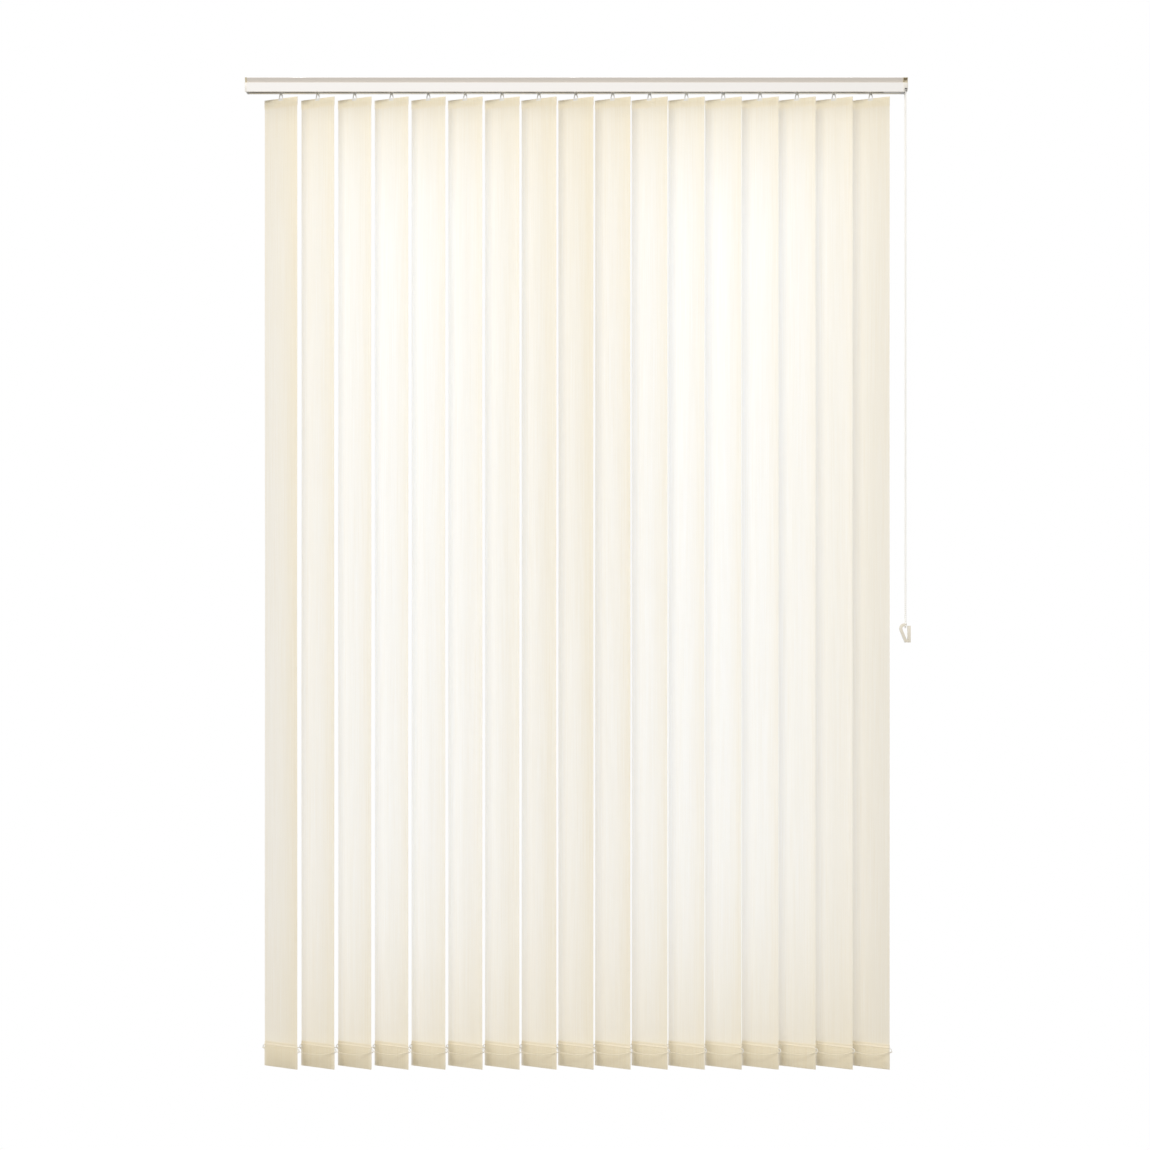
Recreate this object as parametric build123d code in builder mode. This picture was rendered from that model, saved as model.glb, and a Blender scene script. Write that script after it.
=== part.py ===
from build123d import *
import os
from math import asin, cos, degrees, pi, radians, sin, sqrt

# Vertical blind with 17 cloth slats, hung from a ceiling-fixed head rail.
# X runs along the rail, Y away from the room, Z up. The origin is on the ceiling,
# above the middle of the rail. Lengths are in millimetres.

# Blind
slat_count = 17
slat_pitch = 80.0
slat_width = 86.0
slat_length = 2103.5
slat_tilt = 28.0  # degrees out of the blind's plane, right edge towards the room
idle_margin = 75.8  # rail end to first slat
control_margin = 78.2  # last slat to rail end
slat_drop = 13.2  # rail underside to slat top

# Clearances
run_clear = 0.3  # between pieces that pass each other
fit_clear = 0.08  # round a turning shaft
seat_clear = 0.05  # between pieces that hang on each other
overrun = 1.0  # how far a cut passes a face

# Head rail section
rail_depth = 36.0
rail_height = 28.5
rail_wall = 1.3
rail_box_height = 18.1  # lower box, which holds the carriers
rail_waist = 26.0  # depth of the undercut above that box
rail_slot = 8.4
skirt_drop = 2.8  # the room side's wall hangs this far below the underside
rail_edge_r = 0.8
bracket_slot = 18.0

# End caps
idle_cap_length = 4.3
control_cap_length = 10.5
cap_wall = 1.4
cap_edge = 0.6
spigot_length = 5.0
tongue_length = 40.0  # closes the rail's slot next to the control end
tongue_height = 3.0
chain_slot_height = 5.6  # at the cap's front
guide_clear = 0.5
cap_core_depth = 8.0  # pockets that keep the cap's upper part thin-walled

# Ceiling brackets
bracket_spacing = 600.0
bracket_length = 30.0
bracket_depth = 20.0
bracket_thick = 2.0
bracket_foot_depth = 27.0
bracket_foot_length = 5.0
bracket_foot_thick = 1.6
bracket_foot_spread = 16.0
bracket_hole_r = 2.5

# Tilt rod, chain wheel and bead chain
rod_r = 2.2
rod_sides = 8
rod_setback = -7.6  # behind the slat pivots, so the rod is in front
wheel_pockets = 8
wheel_thick = 5.0
wheel_flange = 0.3  # beyond the chain's middle line
bead_r = 1.75
bead_pitch = 4.5
bead_sides = 6
bead_groove_clear = 0.25
chain_joint = 0.6
chain_drop = 1155.7  # rail underside to the middle of the lower bend

# Chain tidy on the side wall
tidy_width = 24.0
tidy_height = 41.5
tidy_depth = 5.0
tidy_plate_depth = 12.0
tidy_band = 6.6
tidy_plate = 5.6
tidy_gap = 2.8
tidy_step = 5.4  # the plate ends this far below the band's top
tidy_reach = 10.8  # chain to wall
tidy_top_r = 11.0
tidy_shoulder_r = 14.0
tidy_shoulder = 14.0  # below the band's top
tidy_toe = 11.5  # the foot starts this far right of the band
tidy_screw_r = 1.6
tidy_screw_rise = 13.0

# Carriers
carrier_length = 18.0
runner_height = 3.5
runner_step = 2.3
neck_drop = 0.4
strip_levels = 5  # strips of five neighbours lie above each other in the stack
strip_thick = 0.4
strip_head = 6.0
strip_groove = 7.0
strip_setback = 9.0
strip_reach = 2.0

# Pinion stem and hook
stem_r = 1.6
stem_sides = 6
pinion_r = 3.8
pinion_root_r = 2.9
pinion_height = 6.0
pinion_teeth = 6
hook_bar = 1.6
hook_width = 2.0
hook_lip = 2.0

# Hanger in the slat's top pocket
hanger_length = 76.0
hanger_height = 13.0
hanger_thick = 1.8
eye_rise = 10.6
eye_top_width = 6.0
eye_base_width = 11.0
eye_bar = 2.2
eye_side = 2.1

# Cloth
cloth_thick = 0.5
pocket_thick = 3.0
pocket_taper = 3.0
fold_crown = 0.9
top_pocket = 20.0
bottom_pocket = 50.0

# Bottom weight, its end rings and the two chains through them
weight_length = 76.0
weight_height = 42.0
ring_rise = 41.0  # ring centre above the slat's bottom edge
ring_r = 6.0
ring_hole_r = 4.2
ring_sides = 8
link_thick = 1.8
link_sides = 3
link_hang = 2.0  # chain ends below the ring centre
link_sag = 6.0

# Places that follow from the sizes
rail_length = idle_margin + (slat_count - 1) * slat_pitch + control_margin
left_end = -rail_length / 2
right_end = rail_length / 2
pivots = [left_end + idle_margin + index * slat_pitch for index in range(slat_count)]
rail_top = -bracket_thick
rail_bottom = rail_top - rail_height
shoulder = rail_bottom + rail_box_height
box_depth = rail_depth - 2 * rail_wall
box_floor = rail_bottom + rail_wall
box_roof = shoulder - rail_wall
box_height = box_roof - box_floor
box_middle = (box_roof + box_floor) / 2
tube_left = left_end + idle_cap_length
tube_right = right_end - control_cap_length
slat_top = rail_bottom - slat_drop
slat_bottom = slat_top - slat_length
wheel_r = wheel_pockets * bead_pitch / (2 * pi)
wheel_left = right_end - cap_wall - run_clear - wheel_thick
chain_x = wheel_left + wheel_thick / 2
bend_z = rail_bottom - chain_drop
ring_z = slat_bottom + ring_rise

os.makedirs("parts", exist_ok=True)


def save(piece, name):
    piece.label = name
    export_step(piece, f"parts/{name}.step")


# The rail's outside without its slots, for the end caps
with BuildSketch() as rail_outline:
    with BuildLine():
        Polyline(
            (0, rail_top),
            (rail_depth / 2, rail_top),
            (rail_waist / 2, shoulder),
            (rail_depth / 2, shoulder),
            (rail_depth / 2, rail_bottom),
            (0, rail_bottom),
            close=True,
        )
    make_face()
    mirror(about=Plane.YZ)
    with Locations((-rail_depth / 2, rail_bottom)):
        Rectangle(rail_wall, skirt_drop, align=(Align.MIN, Align.MAX))

# Head rail: one extrusion, a slotted box with a dovetail channel on top
channel_slope = (rail_depth - rail_waist) / 2 / (rail_top - shoulder)
lip_corner = rail_depth / 2 - rail_wall * (1 + channel_slope)
with BuildPart() as head_rail:
    with BuildSketch(Plane.YZ.offset(tube_left)) as section:
        with BuildLine():
            Polyline(
                (0, shoulder),
                (rail_waist / 2 - rail_wall, shoulder),
                (lip_corner, rail_top - rail_wall),
                (bracket_slot / 2, rail_top - rail_wall),
                (bracket_slot / 2, rail_top),
                (rail_depth / 2, rail_top),
                (rail_waist / 2, shoulder),
                (rail_depth / 2, shoulder),
                (rail_depth / 2, rail_bottom),
                (rail_slot / 2, rail_bottom),
                (rail_slot / 2, box_floor),
                (box_depth / 2, box_floor),
                (box_depth / 2, box_roof),
                (0, box_roof),
                close=True,
            )
        make_face()
        mirror(about=Plane.YZ)
        with Locations((-rail_depth / 2, rail_bottom)):
            Rectangle(rail_wall, skirt_drop, align=(Align.MIN, Align.MAX))
        outer = section.vertices().group_by(Axis.X)
        fillet(outer[0] + outer[-1], rail_edge_r)
    extrude(amount=tube_right - tube_left)
save(head_rail.part, "head_rail")

# Idle end cap: closes the rail and carries the rod's far end
spigot_depth = box_depth - 2 * fit_clear
spigot_height = box_height - 2 * fit_clear
with BuildPart() as idle_cap:
    with BuildSketch(Plane.YZ.offset(left_end)):
        add(rail_outline.sketch)
    extrude(amount=idle_cap_length)
    chamfer(idle_cap.faces().sort_by(Axis.X)[0].edges(), cap_edge)
    with BuildSketch(Plane.YZ.offset(tube_left)):
        with Locations((0, box_middle)):
            Rectangle(spigot_depth, spigot_height)
    extrude(amount=spigot_length)
    with BuildSketch(Plane.YZ.offset(tube_left)):
        with Locations((rod_setback, box_middle)):
            Circle(rod_r + fit_clear)
    extrude(amount=spigot_length + overrun, mode=Mode.SUBTRACT)
save(idle_cap.part, "idle_end_cap")

# Control end cap: houses the chain wheel, with a slot for the chain that is open at the front
slot_width = wheel_thick + 2 * run_clear
slot_back = rod_setback + wheel_r + bead_r + guide_clear
core_width = control_cap_length - 2 * cap_wall
core_height = rail_top - shoulder - cap_wall
with BuildPart() as control_cap:
    with BuildSketch(Plane.YZ.offset(tube_right)):
        add(rail_outline.sketch)
    extrude(amount=control_cap_length)
    chamfer(control_cap.faces().sort_by(Axis.X)[-1].edges(), cap_edge)
    with BuildSketch(Plane.YZ.offset(tube_right + cap_wall)):
        with Locations((0, box_middle)):
            Rectangle(box_depth, box_height)
    extrude(amount=control_cap_length - 2 * cap_wall, mode=Mode.SUBTRACT)
    with BuildSketch(Plane.YZ.offset(tube_right)):
        with Locations((0, box_middle)):
            Rectangle(spigot_depth, spigot_height)
    extrude(amount=-spigot_length)
    with BuildSketch(Plane.YZ.offset(tube_right)):
        with Locations((0, rail_bottom)):
            Rectangle(rail_slot - 2 * fit_clear, tongue_height, align=(Align.CENTER, Align.MIN))
    extrude(amount=-tongue_length)
    with BuildSketch(Plane.YZ.offset(tube_right - spigot_length)):
        with Locations((rod_setback, box_middle)):
            Circle(rod_r + fit_clear)
    extrude(amount=spigot_length + cap_wall, mode=Mode.SUBTRACT)
    with BuildSketch(Plane.XY.offset(rail_bottom)):
        with Locations((chain_x, slot_back)):
            Rectangle(slot_width, slot_back + rail_depth, align=(Align.CENTER, Align.MAX))
    extrude(amount=rail_wall, mode=Mode.SUBTRACT)
    with BuildSketch(Plane.XZ.offset(box_depth / 2)):
        with Locations((chain_x - slot_width / 2, rail_bottom - skirt_drop)):
            Rectangle(control_cap_length, skirt_drop + chain_slot_height, align=Align.MIN)
    extrude(amount=rail_depth, mode=Mode.SUBTRACT)
    with BuildSketch(Plane.XZ.offset(rail_depth / 2 - cap_core_depth)):
        with Locations((tube_right + cap_wall, shoulder)):
            Rectangle(core_width, core_height, align=Align.MIN)
    extrude(amount=rail_depth, mode=Mode.SUBTRACT)
save(control_cap.part, "control_end_cap")

# Ceiling brackets: a plate over the rail, with two feet under the channel's lips.
# As many stand at their spacing as the rail between the end caps has room for.
foot_top = rail_top - rail_wall - run_clear
bracket_room = 2 * (tube_right - spigot_length) - bracket_length
bracket_count = 1 + int(bracket_room / bracket_spacing)
with BuildPart() as brackets:
    with BuildSketch(Plane.XY.offset(-bracket_thick)):
        with GridLocations(bracket_spacing, 0, bracket_count, 1):
            Rectangle(bracket_length, bracket_depth)
            Circle(bracket_hole_r, mode=Mode.SUBTRACT)
    extrude(amount=bracket_thick)
    with BuildSketch(Plane.XY.offset(foot_top)):
        with GridLocations(bracket_spacing, 0, bracket_count, 1):
            with GridLocations(bracket_foot_spread, 0, 2, 1):
                Rectangle(bracket_foot_length, bracket_slot - 2 * run_clear)
    extrude(amount=rail_top - foot_top)
    with BuildSketch(Plane.XY.offset(foot_top - bracket_foot_thick)):
        with GridLocations(bracket_spacing, 0, bracket_count, 1):
            with GridLocations(bracket_foot_spread, 0, 2, 1):
                Rectangle(bracket_foot_length, bracket_foot_depth)
    extrude(amount=bracket_foot_thick)
save(brackets.part, "mounting_brackets")

# Tilt rod: many-sided, to drive the carriers, with the chain wheel on its end
rod_end = wheel_left + wheel_thick
wheel_hub_r = wheel_r - bead_r - bead_groove_clear
wheel_rim = wheel_thick / 2 - bead_r - bead_groove_clear
with BuildPart() as tilt_rod:
    with BuildSketch(Plane.YZ.offset(tube_left + seat_clear)):
        with Locations((rod_setback, box_middle)):
            RegularPolygon(rod_r, rod_sides)
    extrude(amount=rod_end - tube_left - seat_clear)
    with BuildSketch(Plane.YZ.offset(wheel_left)):
        with Locations((rod_setback, box_middle)):
            RegularPolygon(wheel_hub_r, wheel_pockets)
    extrude(amount=wheel_thick)
    for rim_left in (wheel_left, rod_end - wheel_rim):
        with BuildSketch(Plane.YZ.offset(rim_left)):
            with Locations((rod_setback, box_middle)):
                Circle(wheel_r + wheel_flange)
        extrude(amount=wheel_rim)
save(tilt_rod.part, "tilt_rod")

# Bead chain: over the wheel, down to the tidy and back, open at its joint
joint_turn = degrees(chain_joint / wheel_r)
near_y = rod_setback - wheel_r
far_y = rod_setback + wheel_r
strand_plane = Plane((chain_x, 0, 0), x_dir=(0, 1, 0), z_dir=(1, 0, 0))
with BuildPart() as bead_chain:
    with BuildLine(strand_plane) as chain_line:
        CenterArc((rod_setback, box_middle), wheel_r, 90, 90)
        Line((near_y, box_middle), (near_y, bend_z))
        CenterArc((rod_setback, bend_z), wheel_r, 180, 180)
        Line((far_y, bend_z), (far_y, box_middle))
        CenterArc((rod_setback, box_middle), wheel_r, 0, 90 - joint_turn)
    chain_start = (chain_x, rod_setback, box_middle + wheel_r)
    with BuildSketch(Plane(chain_start, x_dir=(1, 0, 0), z_dir=(0, -1, 0))):
        RegularPolygon(bead_r, bead_sides)
    sweep(path=chain_line.wires()[0])
save(bead_chain.part, "bead_chain")
chain_length = chain_line.wires()[0].length
print("bead chain", round(chain_length, 1), "long, bends of", round(wheel_r, 2))
bead_section = bead_sides / 2 * bead_r**2 * sin(2 * pi / bead_sides)
print("volume over section times length", bead_chain.part.volume / (bead_section * chain_length))

# Chain tidy: a strap that the chain's lower bend hooks round, fixed to the side wall
tidy_seat = sqrt((wheel_r - bead_r - seat_clear) ** 2 - (tidy_depth / 2) ** 2)
tidy_right = chain_x + tidy_reach
tidy_left = tidy_right - tidy_width
tidy_top = bend_z - tidy_seat + tidy_band
tidy_foot = tidy_top - tidy_height
tidy_gap_left = tidy_right - tidy_plate - tidy_gap
with BuildSketch() as tidy_outside:
    with BuildLine():
        Polyline(
            (tidy_right, tidy_foot),
            (tidy_right, tidy_top),
            (tidy_left, tidy_top),
            (tidy_left, tidy_top - tidy_shoulder),
            (tidy_left + tidy_toe, tidy_foot),
            close=True,
        )
    make_face()
    shoulder_corner = (tidy_left, tidy_top - tidy_shoulder)
    fillet(tidy_outside.vertices().sort_by_distance(shoulder_corner)[0], tidy_shoulder_r)
    fillet(tidy_outside.vertices().sort_by_distance((tidy_left, tidy_top))[0], tidy_top_r)
with BuildSketch() as tidy_hollow:
    add(tidy_outside.sketch)
    offset(amount=-tidy_band, kind=Kind.INTERSECTION, mode=Mode.REPLACE)
with BuildPart() as tidy:
    with BuildSketch(Plane.XZ.offset(-rod_setback)):
        add(tidy_outside.sketch)
        add(tidy_hollow.sketch, mode=Mode.SUBTRACT)
        with Locations((tidy_gap_left, tidy_top)):
            Rectangle(tidy_gap, 2 * tidy_band, align=(Align.MIN, Align.CENTER), mode=Mode.SUBTRACT)
        with Locations((tidy_right, tidy_top)):
            Rectangle(2 * tidy_plate, 2 * tidy_step, mode=Mode.SUBTRACT)
    extrude(amount=tidy_depth / 2, both=True)
    with BuildSketch(Plane.XZ.offset(-rod_setback)):
        with Locations((tidy_right, tidy_foot)):
            Rectangle(tidy_plate, tidy_height - tidy_step, align=(Align.MAX, Align.MIN))
    extrude(amount=tidy_plate_depth / 2, both=True)
    with BuildSketch(Plane.YZ.offset(tidy_right)):
        with Locations((rod_setback, tidy_foot + tidy_screw_rise)):
            Circle(tidy_screw_r)
    extrude(amount=-tidy_plate, mode=Mode.SUBTRACT)
save(tidy.part, "chain_tidy")

# Carrier: a truck on the rail's lips, open for the rod and for the stem's pinion
carrier_width = box_depth - 2 * run_clear
carrier_floor = box_floor + run_clear
carrier_roof = box_roof - run_clear
body_width = carrier_width - 2 * runner_step
strip_step = strip_thick + run_clear
groove_depth = strip_levels * strip_step + run_clear
neck_width = rail_slot - 2 * run_clear
neck_foot = rail_bottom - neck_drop
cavity_width = 2 * (pinion_r + run_clear)
cavity_height = pinion_height + 2 * run_clear
with BuildPart() as carrier_body:
    with BuildSketch(Plane.YZ):
        with BuildLine():
            Polyline(
                (0, carrier_floor),
                (carrier_width / 2, carrier_floor),
                (carrier_width / 2, carrier_floor + runner_height),
                (body_width / 2, carrier_floor + runner_height),
                (body_width / 2, carrier_roof),
                (0, carrier_roof),
                close=True,
            )
        make_face()
        mirror(about=Plane.YZ)
        with Locations((rod_setback, box_middle)):
            Rectangle(2 * (rod_r + fit_clear), 2 * (rod_r + fit_clear), mode=Mode.SUBTRACT)
        with Locations((strip_setback, carrier_roof)):
            Rectangle(strip_groove, 2 * groove_depth, mode=Mode.SUBTRACT)
    extrude(amount=carrier_length / 2, both=True)
    with BuildSketch(Plane.XY.offset(neck_foot)):
        Rectangle(neck_width, neck_width)
    extrude(amount=carrier_floor - neck_foot)
    with BuildSketch(Plane.XY.offset(neck_foot)):
        Rectangle(2 * (stem_r + fit_clear), 2 * (stem_r + fit_clear))
    extrude(amount=box_middle - neck_foot, mode=Mode.SUBTRACT)
    with BuildSketch(Plane.XY.offset(box_middle)):
        Rectangle(cavity_width, cavity_width)
    extrude(amount=cavity_height / 2, both=True, mode=Mode.SUBTRACT)

# Spacer strip: holds a carrier one pitch from the one before it
with BuildPart() as strip:
    with BuildSketch(Plane.XY):
        with Locations((0, strip_setback)):
            Rectangle(strip_head, strip_groove)
            Rectangle(
                slat_pitch + strip_reach,
                strip_groove - 2 * run_clear,
                align=(Align.MAX, Align.CENTER),
            )
    extrude(amount=strip_thick)

for index, pivot in enumerate(pivots):
    level = carrier_roof - groove_depth + run_clear + (index % strip_levels) * strip_step
    with BuildPart() as carrier:
        with Locations((pivot, 0, 0)):
            add(carrier_body.part)
        if index > 0:
            with Locations((pivot, 0, level)):
                add(strip.part)
    save(carrier.part, f"carrier_{index + 1:02d}")

# Fittings of one slat, made with the slat square to Y: stem and hook, hanger, weight
eye_top = slat_top + eye_rise
hook_inside = hanger_thick / 2 + run_clear
hook_outside = hook_inside + hook_bar
hook_top = eye_top + run_clear + hook_bar
cup = eye_top - eye_bar - seat_clear
hanger_top = slat_top - fold_crown - seat_clear
hanger_bottom = hanger_top - hanger_height
eye_slope = (eye_base_width - eye_top_width) / 2 / (eye_top - hanger_top)
eye_hole_top = eye_top_width / 2 + eye_slope * eye_bar - eye_side
eye_hole_base = eye_base_width / 2 - eye_side
weight_bottom = slat_bottom + fold_crown + seat_clear
with BuildPart() as fittings:
    with BuildSketch(Plane.XY.offset(box_middle)):
        with BuildLine():
            rim = []
            for tooth in range(pinion_teeth):
                tip = 2 * pi * tooth / pinion_teeth
                root = tip + pi / pinion_teeth
                rim.append((pinion_r * cos(tip), pinion_r * sin(tip)))
                rim.append((pinion_root_r * cos(root), pinion_root_r * sin(root)))
            Polyline(*rim, close=True)
        make_face()
    extrude(amount=pinion_height / 2, both=True)
    with BuildSketch(Plane.XY.offset(hook_top)):
        RegularPolygon(stem_r, stem_sides)
    extrude(amount=box_middle - hook_top)
    with BuildSketch(Plane.YZ):
        with BuildLine():
            Polyline(
                (-hook_outside, hook_top),
                (stem_r, hook_top),
                (stem_r, hook_top - hook_bar),
                (-hook_inside, hook_top - hook_bar),
                (-hook_inside, cup),
                (hook_inside, cup),
                (hook_inside, cup + hook_lip),
                (hook_outside, cup + hook_lip),
                (hook_outside, cup - hook_bar),
                (-hook_outside, cup - hook_bar),
                close=True,
            )
        make_face()
    extrude(amount=hook_width / 2, both=True)
    with BuildSketch(Plane.XZ):
        with BuildLine():
            Polyline(
                (0, eye_top),
                (eye_top_width / 2, eye_top),
                (eye_base_width / 2, hanger_top),
                (hanger_length / 2, hanger_top),
                (hanger_length / 2, hanger_bottom),
                (0, hanger_bottom),
                close=True,
            )
        make_face()
        with BuildLine():
            Polyline(
                (0, eye_top - eye_bar),
                (eye_hole_top, eye_top - eye_bar),
                (eye_hole_base, slat_top),
                (0, slat_top),
                close=True,
            )
        make_face(mode=Mode.SUBTRACT)
        mirror(about=Plane.YZ)
    extrude(amount=hanger_thick / 2, both=True)
    with BuildSketch(Plane.XZ):
        with BuildLine():
            Polyline(
                (0, weight_bottom),
                (weight_length / 2, weight_bottom),
                (weight_length / 2, weight_bottom + weight_height),
                (0, weight_bottom + weight_height),
                close=True,
            )
        make_face()
        with Locations((slat_width / 2, ring_z)):
            RegularPolygon(ring_r, ring_sides, rotation=180 / ring_sides)
            RegularPolygon(ring_hole_r, ring_sides, rotation=180 / ring_sides, mode=Mode.SUBTRACT)
        mirror(about=Plane.YZ)
    extrude(amount=hanger_thick / 2, both=True)

# Cloth slat: one strip folded into a pocket at each end, notched for the hanger's eye
pocket_half = pocket_thick / 2
hollow_half = pocket_half - cloth_thick
top_seam = slat_top - top_pocket
bottom_seam = slat_bottom + bottom_pocket
with BuildPart() as slat_cloth:
    with BuildSketch(Plane.YZ):
        with BuildLine():
            Polyline(
                (0, slat_top),
                (pocket_half, slat_top),
                (pocket_half, top_seam + pocket_taper),
                (cloth_thick / 2, top_seam),
                (cloth_thick / 2, bottom_seam),
                (pocket_half, bottom_seam - pocket_taper),
                (pocket_half, slat_bottom),
                (0, slat_bottom),
                close=True,
            )
        make_face()
        with BuildLine():
            Polyline(
                (0, slat_top - fold_crown),
                (hollow_half, slat_top - fold_crown),
                (hollow_half, top_seam + pocket_taper),
                (0, top_seam + pocket_taper),
                close=True,
            )
        make_face(mode=Mode.SUBTRACT)
        with BuildLine():
            Polyline(
                (0, slat_bottom + fold_crown),
                (hollow_half, slat_bottom + fold_crown),
                (hollow_half, bottom_seam - pocket_taper),
                (0, bottom_seam - pocket_taper),
                close=True,
            )
        make_face(mode=Mode.SUBTRACT)
        mirror(about=Plane.YZ)
    extrude(amount=slat_width / 2, both=True)
    with BuildSketch(Plane.XZ):
        with Locations((0, slat_top)):
            Rectangle(eye_base_width + 2 * run_clear, 2 * (fold_crown + run_clear))
    extrude(amount=pocket_thick, both=True, mode=Mode.SUBTRACT)

for index, pivot in enumerate(pivots):
    hung = Location((pivot, 0, 0), (0, 0, -slat_tilt))
    with BuildPart() as slat:
        with Locations(hung):
            add(slat_cloth.part)
    save(slat.part, f"slat_{index + 1:02d}")
    with BuildPart() as hung_fittings:
        with Locations(hung):
            add(fittings.part)
    save(hung_fittings.part, f"fittings_{index + 1:02d}")

# Bottom chains: one hangs from the rings on the slats' near edges, one from the far rings
ring_bar = slat_width / 2 + (ring_r + ring_hole_r) / 2 * cos(pi / ring_sides)
tilt = radians(slat_tilt)
link_gap = (hanger_thick / 2 + run_clear + link_thick / 2 * cos(tilt)) / sin(tilt)
half_span = slat_pitch / 2 - link_gap
link_r = (half_span**2 + link_sag**2) / (2 * link_sag)
link_turn = 2 * degrees(asin(half_span / link_r))
link_foot = ring_z - link_hang
link_middle = link_foot - link_sag + link_r
link_span = link_r * radians(link_turn)
link_section = link_sides / 2 * (link_thick / 2) ** 2 * sin(2 * pi / link_sides)
for side, name in ((1, "front_bottom_chain"), (-1, "rear_bottom_chain")):
    chain_y = -side * ring_bar * sin(tilt)
    with BuildPart() as links:
        for pivot in pivots[:-1]:
            span_x = pivot + side * ring_bar * cos(tilt) + slat_pitch / 2
            start = (span_x - half_span, chain_y, link_foot)
            with BuildSketch(Plane(start, x_dir=(0, 1, 0), z_dir=(link_middle - link_foot, 0, -half_span))):
                RegularPolygon(link_thick / 2, link_sides)
            revolve(
                axis=Axis((span_x, chain_y, link_middle), (0, -1, 0)), revolution_arc=link_turn
            )
    save(links.part, name)
    chain_volume = link_section * link_span * (slat_count - 1)
    print(name, "volume over section times length", links.part.volume / chain_volume)
print("bottom chains: spans of", round(link_span, 2), "bent to", round(link_r, 1))
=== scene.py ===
from math import cos, pi, radians, sin

import bmesh
import bpy
from bpy.props import FloatProperty, FloatVectorProperty, PointerProperty
from mathutils import Matrix, Vector


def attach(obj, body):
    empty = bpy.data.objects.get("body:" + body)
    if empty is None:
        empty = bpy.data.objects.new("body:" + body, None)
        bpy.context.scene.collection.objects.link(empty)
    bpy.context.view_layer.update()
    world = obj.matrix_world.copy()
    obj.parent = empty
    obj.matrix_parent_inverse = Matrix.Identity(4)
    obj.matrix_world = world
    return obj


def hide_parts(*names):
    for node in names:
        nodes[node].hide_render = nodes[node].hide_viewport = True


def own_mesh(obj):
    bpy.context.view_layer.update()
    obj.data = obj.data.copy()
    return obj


bl_info = {
    "name": "Vertical blind",
    "version": (1, 0, 0),
    "blender": (4, 5, 0),
    "location": "View3D > Sidebar > Blind",
    "description": "Dresses the packed vertical blind with cloth, chains, fittings and finishes",
    "category": "Object",
}

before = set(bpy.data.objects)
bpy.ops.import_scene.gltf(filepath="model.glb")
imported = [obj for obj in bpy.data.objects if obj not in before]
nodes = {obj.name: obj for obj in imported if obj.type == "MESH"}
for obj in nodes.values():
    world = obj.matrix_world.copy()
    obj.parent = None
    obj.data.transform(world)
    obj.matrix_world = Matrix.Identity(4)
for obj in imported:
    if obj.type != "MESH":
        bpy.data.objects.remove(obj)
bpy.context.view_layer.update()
MM = 0.001
WELD = 1e-6  # points closer than this become one
FLAT_SHARE = cos(pi / 8)  # flats of the source's eight-sided rings, as a share of their radius
slat_numbers = sorted(name[-2:] for name in nodes if name.startswith("slat_"))


def linear(code):
    """Linear red, green and blue of an sRGB hex colour."""
    shares = [int(code[place : place + 2], 16) / 255 for place in (0, 2, 4)]
    return [c / 12.92 if c <= 0.04045 else ((c + 0.055) / 1.055) ** 2.4 for c in shares]


def size(name, description, millimetres):
    return FloatProperty(
        name=name, description=description, default=millimetres * MM, unit="LENGTH", precision=5
    )


def colour(name, description, code):
    return FloatVectorProperty(
        name=name, description=description, default=linear(code), subtype="COLOR", min=0, max=1
    )


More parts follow.
